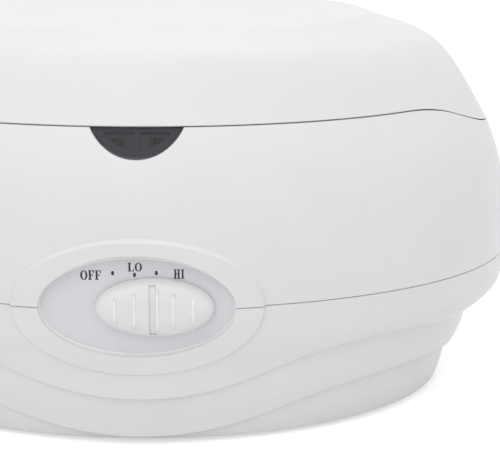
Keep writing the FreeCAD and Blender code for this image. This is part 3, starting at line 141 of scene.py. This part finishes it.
def smoked_plastic():
    """Polished dark smoke lens that lets a little of what is behind it show."""
    material, shader, coords = new_material("smoked_plastic")
    shader.inputs["Transmission Weight"].default_value = 0.96
    shader.inputs["IOR"].default_value = 1.3
    shader.inputs["Specular IOR Level"].default_value = 0.4
    patches = noise(material, coords, 0.006, 2.0)
    blend_colours(material, patches, (0.19, 0.2, 0.24), (0.22, 0.22, 0.235), shader.inputs["Base Color"])
    haze = noise(material, coords, 0.004, 3.0)
    join(material, spread(material, haze, 0.05, 0.12), shader.inputs["Roughness"])
    return material


def lamp_glass(name, colour, deep):
    """Tinted lamp envelope."""
    material, shader, coords = new_material(name)
    shader.inputs["Transmission Weight"].default_value = 0.6
    shader.inputs["IOR"].default_value = 1.4
    blend_colours(material, noise(material, coords, 0.004), colour, deep, shader.inputs["Base Color"])
    join(material, spread(material, noise(material, coords, 0.002), 0.06, 0.16), shader.inputs["Roughness"])
    return material


FINISHES = {
    # Satin white moulding
    "white_plastic": {"colour": (0.83, 0.83, 0.825), "tint": (0.81, 0.81, 0.805), "roughness": (0.36, 0.44),
                      "grain": 0.4 * MM, "depth": 0.02 * MM, "edge": 0.7 * MM, "specular": 0.45},
    # White moulding made lighter than the knob's own white on ribs and edges: a painted highlight, with a
    # little more gloss
    "painted_highlight_white": {"colour": (0.94, 0.94, 0.93), "tint": (0.92, 0.92, 0.91), "roughness": (0.3, 0.38),
                       "grain": 0.4 * MM, "depth": 0.02 * MM, "edge": 0.25 * MM},
    # Fine matt grey-lilac
    "panel_plastic": {"colour": (0.77, 0.77, 0.81), "tint": (0.755, 0.755, 0.795), "roughness": (0.5, 0.6),
                      "grain": 0.25 * MM, "depth": 0.02 * MM, "edge": 0.2 * MM, "specular": 0.3},
    # Near-black screen print, a little uneven
    "printed_ink": {"colour": (0.012, 0.012, 0.014), "tint": (0.022, 0.022, 0.025), "roughness": (0.4, 0.55),
                    "grain": 0.3 * MM, "depth": 0.01 * MM},
    "silicone": {"colour": (0.76, 0.75, 0.71), "tint": (0.70, 0.69, 0.66), "roughness": (0.5, 0.65),
                 "grain": 0.5 * MM, "depth": 0.03 * MM},
    # Brushed round the tank
    "tank_aluminium": {"colour": (0.74, 0.75, 0.76), "tint": (0.66, 0.67, 0.68), "roughness": (0.28, 0.42),
                       "grain": 0.6 * MM, "depth": 0.02 * MM, "metallic": 1.0, "edge": 0.5 * MM,
                       "stretch": (1.0, 1.0, 14.0)},
    "grate_plastic": {"colour": (0.78, 0.78, 0.77), "tint": (0.73, 0.73, 0.72), "roughness": (0.45, 0.6),
                      "grain": 0.5 * MM, "depth": 0.03 * MM, "edge": 0.5 * MM},
    "zinc_steel": {"colour": (0.60, 0.61, 0.62), "tint": (0.50, 0.51, 0.53), "roughness": (0.25, 0.4),
                   "grain": 0.3 * MM, "depth": 0.02 * MM, "metallic": 1.0, "edge": 0.2 * MM},
    "mica": {"colour": (0.52, 0.43, 0.30), "tint": (0.42, 0.34, 0.23), "roughness": (0.3, 0.55),
             "grain": 1.5 * MM, "depth": 0.06 * MM},
    "ceramic_body": {"colour": (0.80, 0.77, 0.70), "tint": (0.74, 0.71, 0.64), "roughness": (0.55, 0.7),
                     "grain": 0.4 * MM, "depth": 0.05 * MM},
    "fuse_case": {"colour": (0.68, 0.68, 0.66), "tint": (0.58, 0.58, 0.56), "roughness": (0.2, 0.35),
                  "grain": 0.4 * MM, "depth": 0.02 * MM, "metallic": 1.0},
    "glass_wool": {"colour": (0.80, 0.78, 0.69), "tint": (0.70, 0.68, 0.58), "roughness": (0.85, 0.98),
                   "grain": 1.2 * MM, "depth": 0.5 * MM},
    "nylon": {"colour": (0.80, 0.77, 0.68), "tint": (0.75, 0.72, 0.63), "roughness": (0.4, 0.55),
              "grain": 0.5 * MM, "depth": 0.02 * MM, "edge": 0.2 * MM},
    "brass_parts": {"colour": (0.74, 0.56, 0.24), "tint": (0.62, 0.46, 0.2), "roughness": (0.22, 0.38),
                    "grain": 0.4 * MM, "depth": 0.02 * MM, "metallic": 1.0, "edge": 0.2 * MM},
    "phenolic": {"colour": (0.085, 0.055, 0.04), "tint": (0.06, 0.04, 0.03), "roughness": (0.35, 0.5),
                 "grain": 0.5 * MM, "depth": 0.03 * MM, "edge": 0.3 * MM},
    "gland_plastic": {"colour": (0.74, 0.74, 0.73), "tint": (0.70, 0.70, 0.69), "roughness": (0.42, 0.55),
                      "grain": 0.4 * MM, "depth": 0.03 * MM, "edge": 0.4 * MM},
    "lead_insulation": {"colour": (0.45, 0.05, 0.04), "tint": (0.36, 0.04, 0.03), "roughness": (0.4, 0.55),
                        "grain": 0.6 * MM, "depth": 0.03 * MM},
    "foot_rubber": {"colour": (0.05, 0.05, 0.053), "tint": (0.035, 0.035, 0.038), "roughness": (0.7, 0.85),
                    "grain": 0.5 * MM, "depth": 0.06 * MM},
}
MATERIALS = {name: surface(name, **settings) for name, settings in FINISHES.items()}
MATERIALS["smoked_plastic"] = smoked_plastic()
MATERIALS["lamp_amber"] = lamp_glass("lamp_amber", (0.85, 0.36, 0.06), (0.7, 0.25, 0.04))
MATERIALS["lamp_green"] = lamp_glass("lamp_green", (0.2, 0.62, 0.24), (0.12, 0.5, 0.17))
for node_name, node in NODES.items():
    node.data.materials.clear()
    node.data.materials.append(MATERIALS[SLOT_OF[node_name]])


def new_piece(name, mesh, finish):
    """An object in the scene, with its mesh in one finish."""
    mesh.materials.clear()
    mesh.materials.append(MATERIALS[finish])
    piece = bpy.data.objects.new(name, mesh)
    bpy.context.scene.collection.objects.link(piece)
    return piece


# Printed heat scale

# Capital letters on a unit height, as outlines of X and Z
SERIF = 0.07
LETTERS = {
    "I": [(0, 0), (0.42, 0), (0.42, SERIF), (0.31, SERIF), (0.31, 1 - SERIF), (0.42, 1 - SERIF), (0.42, 1),
          (0, 1), (0, 1 - SERIF), (0.11, 1 - SERIF), (0.11, SERIF), (0, SERIF)],
    "H": [(0, 0), (0.35, 0), (0.35, SERIF), (0.28, SERIF), (0.28, 0.46), (0.46, 0.46), (0.46, SERIF),
          (0.39, SERIF), (0.39, 0), (0.74, 0), (0.74, SERIF), (0.66, SERIF), (0.66, 1 - SERIF),
          (0.74, 1 - SERIF), (0.74, 1), (0.39, 1), (0.39, 1 - SERIF), (0.46, 1 - SERIF), (0.46, 0.55),
          (0.28, 0.55), (0.28, 1 - SERIF), (0.35, 1 - SERIF), (0.35, 1), (0, 1), (0, 1 - SERIF),
          (0.08, 1 - SERIF), (0.08, SERIF), (0, SERIF)],
    "L": [(0, 0), (0.62, 0), (0.64, 0.30), (0.57, 0.30), (0.50, SERIF), (0.28, SERIF), (0.28, 1 - SERIF),
          (0.37, 1 - SERIF), (0.37, 1), (0, 1), (0, 1 - SERIF), (0.08, 1 - SERIF), (0.08, SERIF),
          (0, SERIF)],
    "F": [(0, 0), (0.37, 0), (0.37, SERIF), (0.28, SERIF), (0.28, 0.46), (0.40, 0.46), (0.40, 0.36),
          (0.46, 0.36), (0.46, 0.65), (0.40, 0.65), (0.40, 0.54), (0.28, 0.54), (0.28, 1 - SERIF),
          (0.47, 1 - SERIF), (0.54, 0.70), (0.61, 0.70), (0.59, 1), (0, 1), (0, 1 - SERIF),
          (0.08, 1 - SERIF), (0.08, SERIF), (0, SERIF)],
}
LETTER_WIDTH = {"I": 0.42, "H": 0.74, "L": 0.64, "F": 0.61, "O": 0.72}
LETTER_GAP = 0.06
# Half heights of the letter O outside and inside, and the share of its width that is open
O_HALF_TALL, O_OPEN_HALF_TALL, O_OPEN_SHARE = 0.51, 0.43, 0.46
OVAL_STEPS = 28
# Each word's text, left edge, foot, height and length on the panel, and each dot's middle, in millimetres
WORDS = {
    "scale_off": ("OFF", -27.5, 89.45, 4.85, 10.15),
    "scale_lo": ("LO", -4.3, 93.8, 4.5, 6.95),
    "scale_hi": ("HI", 18.0, 90.25, 4.75, 5.3),
}
DOTS = ((-11.7, 92.9), (-1.05, 92.1), (9.6, 93.1))
DOT_WIDE, DOT_TALL, DOT_CORNER = 1.35, 2.25, 0.4
INK_THICK = 0.04 * MM
PANEL_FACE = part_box("control_panel")[0].y


def oval(across, height, wide, tall):
    """Points round an upright oval."""
    turns = [2 * math.pi * step / OVAL_STEPS for step in range(OVAL_STEPS)]
    return [(across + wide * math.cos(turn), height + tall * math.sin(turn)) for turn in turns]


def block_dot(across, height):
    """Points round an upright block with cut corners."""
    wide, tall = DOT_WIDE / 2, DOT_TALL / 2
    near, low = wide - DOT_CORNER, tall - DOT_CORNER
    upper = [(wide, low), (near, tall), (-near, tall), (-wide, low)]
    ring = upper + [(-x, -z) for x, z in upper]
    return [(across + x, height + z) for x, z in ring]


def letter_rings(letter, pen):
    """A letter's outlines on a unit height, its left edge at the pen."""
    if letter != "O":
        return [[(pen + across, up) for across, up in LETTERS[letter]]]
    half = LETTER_WIDTH["O"] / 2
    outside = oval(pen + half, 0.5, half, O_HALF_TALL)
    inside = oval(pen + half, 0.5, half * O_OPEN_SHARE, O_OPEN_HALF_TALL)
    return [outside, inside]


def word_outlines(text, left, foot, height, wide):
    """Outlines of a word set in the panel's serif capitals to a given length, in millimetres."""
    natural = sum(LETTER_WIDTH[letter] for letter in text) + LETTER_GAP * (len(text) - 1)
    unit_x, unit_z = wide / natural, height
    outlines = []
    pen = 0.0
    for letter in text:
        for ring in letter_rings(letter, pen):
            outlines.append([(left + across * unit_x, foot + up * unit_z) for across, up in ring])
        pen += LETTER_WIDTH[letter] + LETTER_GAP
    return outlines


def print_on_panel(name, outlines):
    """A thin filled print on the panel's front face."""
    curve = bpy.data.curves.new(f"{name}_outline", "CURVE")
    curve.dimensions = "2D"
    curve.fill_mode = "BOTH"
    curve.extrude = INK_THICK / 2
    for outline in outlines:
        spline = curve.splines.new("POLY")
        spline.points.add(len(outline) - 1)
        for point, (across, up) in zip(spline.points, outline):
            point.co = (across * MM, up * MM, 0, 1)
        spline.use_cyclic_u = True
    drawn = bpy.data.objects.new(f"{name}_drawn", curve)
    bpy.context.scene.collection.objects.link(drawn)
    bpy.context.view_layer.update()
    mesh = bpy.data.meshes.new_from_object(drawn.evaluated_get(bpy.context.evaluated_depsgraph_get()))
    bpy.data.objects.remove(drawn)
    for vertex in mesh.vertices:
        across, up, out = vertex.co
        vertex.co = (across, PANEL_FACE - INK_THICK / 2 - out, up)
    piece = new_piece(name, mesh, "printed_ink")
    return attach(piece, "pot")


for word_name, setting in WORDS.items():
    print_on_panel(word_name, word_outlines(*setting))
print_on_panel("scale_dots", [block_dot(across, up) for across, up in DOTS])


# Knob ribs

# Each rib's distance from the knob's middle and its length, in millimetres
RIBS = {
    "rib_far_left": (-19.0, 12.0),
    "rib_left": (-9.5, 18.0),
    "rib_index": (1.65, 22.4),
    "rib_right": (9.5, 18.0),
    "rib_far_right": (19.0, 12.0),
}
# A rib's section: X from its middle and how far it stands out of the crown, in millimetres
RIB_SECTION = ((-0.75, -0.3), (-0.7, 0.25), (-0.35, 0.7), (0.35, 0.7), (0.7, 0.25), (0.75, -0.3))
# How far beside a rib's middle the crown is found, in millimetres
RIB_BESIDE = 1.2
RIB_STEPS = 20
# One part in this many of half a rib's length slopes down at its end
RIB_SLOPE = 6
IN_FRONT_OF_KNOB = -0.3


def crown_finder():
    """A function that finds the knob's front surface, as Y, at a given X and Z."""
    bpy.context.view_layer.update()
    knob = NODES["slide_knob"].evaluated_get(bpy.context.evaluated_depsgraph_get())
    inward = knob.matrix_world.inverted()
    aim = inward.to_3x3() @ Vector((0, 1, 0))

    def crown(across, height):
        _, spot, _, _ = knob.ray_cast(inward @ Vector((across, IN_FRONT_OF_KNOB, height)), aim)
        return (knob.matrix_world @ spot).y

    return crown


def knob_rib(name, crown, middle, height, long):
    """A slim rounded rib that follows the knob's crown and sinks into it at both ends."""
    verts = []
    for step in range(RIB_STEPS + 1):
        along = step / RIB_STEPS * 2 - 1
        up = height + along * long / 2 * MM
        face = crown(middle + RIB_BESIDE * MM, up)
        taper = min(1.0, (1 - abs(along)) * RIB_SLOPE)
        for across, proud in RIB_SECTION:
            lift = proud * taper if proud > 0 else proud
            verts.append((middle + across * MM, face - lift * MM, up))
    ring = len(RIB_SECTION)
    faces = [tuple(range(ring - 1, -1, -1)), tuple(range(len(verts) - ring, len(verts)))]
    for step in range(RIB_STEPS):
        for side in range(ring):
            first, second = step * ring + side, step * ring + (side + 1) % ring
            faces.append((first, second, second + ring, first + ring))
    mesh = bpy.data.meshes.new(name)
    mesh.from_pydata(verts, [], faces)
    mesh.update()
    for face in mesh.polygons:
        face.use_smooth = len(face.vertices) == 4
    # The ribs are a lighter white than the knob: a painted highlight
    piece = new_piece(name, mesh, "painted_highlight_white")
    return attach(piece, "knob")


knob_low, knob_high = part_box("slide_knob")
knob_x = (knob_low.x + knob_high.x) / 2
knob_z = (knob_low.z + knob_high.z) / 2
find_crown = crown_finder()
for rib_name, (rib_offset, rib_length) in RIBS.items():
    knob_rib(rib_name, find_crown, knob_x + rib_offset * MM, knob_z, rib_length)


# Bead round the panel

# Half sizes of the bezel's opening and the bead's radius, in millimetres
OPENING_HALF_X, OPENING_HALF_Z, BEAD_RADIUS = 48.3, 25.3, 0.55
BEAD_STEPS, BEAD_SIDES = 160, 10


def panel_bead(name):
    """A slim round bead in the corner between the panel's face and the bezel's opening."""
    low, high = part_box("control_panel")
    middle_x, middle_z = (low.x + high.x) / 2, (low.z + high.z) / 2
    verts = []
    for step in range(BEAD_STEPS):
        turn = 2 * math.pi * step / BEAD_STEPS
        out_x, out_z = math.cos(turn) / OPENING_HALF_X, math.sin(turn) / OPENING_HALF_Z
        size = math.hypot(out_x, out_z)
        for side in range(BEAD_SIDES):
            angle = 2 * math.pi * side / BEAD_SIDES
            out = BEAD_RADIUS * math.cos(angle)
            back = BEAD_RADIUS * math.sin(angle)
            across = OPENING_HALF_X * math.cos(turn) + out * out_x / size
            up = OPENING_HALF_Z * math.sin(turn) + out * out_z / size
            verts.append((middle_x + across * MM, low.y + back * MM, middle_z + up * MM))
    faces = []
    for step in range(BEAD_STEPS):
        ahead = (step + 1) % BEAD_STEPS
        for side in range(BEAD_SIDES):
            beside = (side + 1) % BEAD_SIDES
            faces.append((step * BEAD_SIDES + side, step * BEAD_SIDES + beside,
                          ahead * BEAD_SIDES + beside, ahead * BEAD_SIDES + side))
    mesh = bpy.data.meshes.new(name)
    mesh.from_pydata(verts, [], faces)
    mesh.update()
    for face in mesh.polygons:
        face.use_smooth = True
    # The bead is a lighter white than the bezel: a painted highlight round the panel's rim
    piece = new_piece(name, mesh, "painted_highlight_white")
    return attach(piece, "pot")


panel_bead("panel_bead")


# Studio

CAMERA_AT = (0.06452, -0.84726, 0.32575)
CAMERA_DOWN_DEG = 16.163
CAMERA_TURN_DEG = 0.745
SENSOR_MM = 36.0
IMAGE_WIDTH_PX = 500
FOCAL_PX = 1571.12
POT_MIDDLE = (0, 0, 0.1)
WORLD_LIGHT = 0.8
FLOOR_HALF = 4.0
FLOOR_GLOW = 0.5


def make_camera():
    """Camera at the photograph's viewpoint."""
    data = bpy.data.cameras.new("photo_camera")
    data.sensor_width = SENSOR_MM
    data.lens = FOCAL_PX / IMAGE_WIDTH_PX * SENSOR_MM
    camera = bpy.data.objects.new("photo_camera", data)
    camera.location = CAMERA_AT
    camera.rotation_euler = (math.radians(90 - CAMERA_DOWN_DEG), 0, math.radians(CAMERA_TURN_DEG))
    bpy.context.scene.collection.objects.link(camera)
    bpy.context.scene.camera = camera


def make_light(name, at, size, watts):
    """A soft box that faces the pot."""
    data = bpy.data.lights.new(name, "AREA")
    data.shape = "DISK"
    data.size = size
    data.energy = watts
    lamp = bpy.data.objects.new(name, data)
    lamp.location = at
    lamp.rotation_euler = (Vector(POT_MIDDLE) - Vector(at)).to_track_quat("-Z", "Y").to_euler()
    bpy.context.scene.collection.objects.link(lamp)


def seen_directly(tree):
    """A value that is 1 for camera, glossy and transmission rays."""
    path = tree.nodes.new("ShaderNodeLightPath")
    total = path.outputs["Is Camera Ray"]
    for ray in ("Is Glossy Ray", "Is Transmission Ray"):
        either = tree.nodes.new("ShaderNodeMath")
        either.operation = "MAXIMUM"
        tree.links.new(total, either.inputs[0])
        tree.links.new(path.outputs[ray], either.inputs[1])
        total = either.outputs[0]
    return total


def make_world():
    """Even soft light, with a white background where it is seen."""
    world = bpy.data.worlds.new("studio")
    world.use_nodes = True
    bpy.context.scene.world = world
    tree = world.node_tree
    background = tree.nodes["Background"]
    background.inputs["Color"].default_value = (1, 1, 1, 1)
    strength = tree.nodes.new("ShaderNodeMapRange")
    strength.inputs["To Min"].default_value = WORLD_LIGHT
    strength.inputs["To Max"].default_value = 1.0
    tree.links.new(seen_directly(tree), strength.inputs["Value"])
    tree.links.new(strength.outputs["Result"], background.inputs["Strength"])


def make_floor():
    """White table that keeps a faint shadow."""
    mesh = bpy.data.meshes.new("floor")
    corners = [(-FLOOR_HALF, -FLOOR_HALF, 0), (FLOOR_HALF, -FLOOR_HALF, 0),
               (FLOOR_HALF, FLOOR_HALF, 0), (-FLOOR_HALF, FLOOR_HALF, 0)]
    mesh.from_pydata(corners, [], [(0, 1, 2, 3)])
    floor = bpy.data.objects.new("floor", mesh)
    bpy.context.scene.collection.objects.link(floor)
    material, shader, _ = new_material("floor_white")
    shader.inputs["Base Color"].default_value = (0.78, 0.78, 0.78, 1)
    shader.inputs["Roughness"].default_value = 0.9
    shader.inputs["Emission Color"].default_value = (1, 1, 1, 1)
    tree = material.node_tree
    glow = tree.nodes.new("ShaderNodeMath")
    glow.operation = "MULTIPLY"
    glow.inputs[1].default_value = FLOOR_GLOW
    tree.links.new(seen_directly(tree), glow.inputs[0])
    tree.links.new(glow.outputs[0], shader.inputs["Emission Strength"])
    mesh.materials.append(material)


make_camera()
make_world()
make_floor()
make_light("key_light", at=(-0.4, -1.2, 1.4), size=1.4, watts=4.5)
make_light("top_light", at=(0.1, 0.1, 1.7), size=1.2, watts=4)
bpy.context.scene.view_settings.view_transform = "Standard"
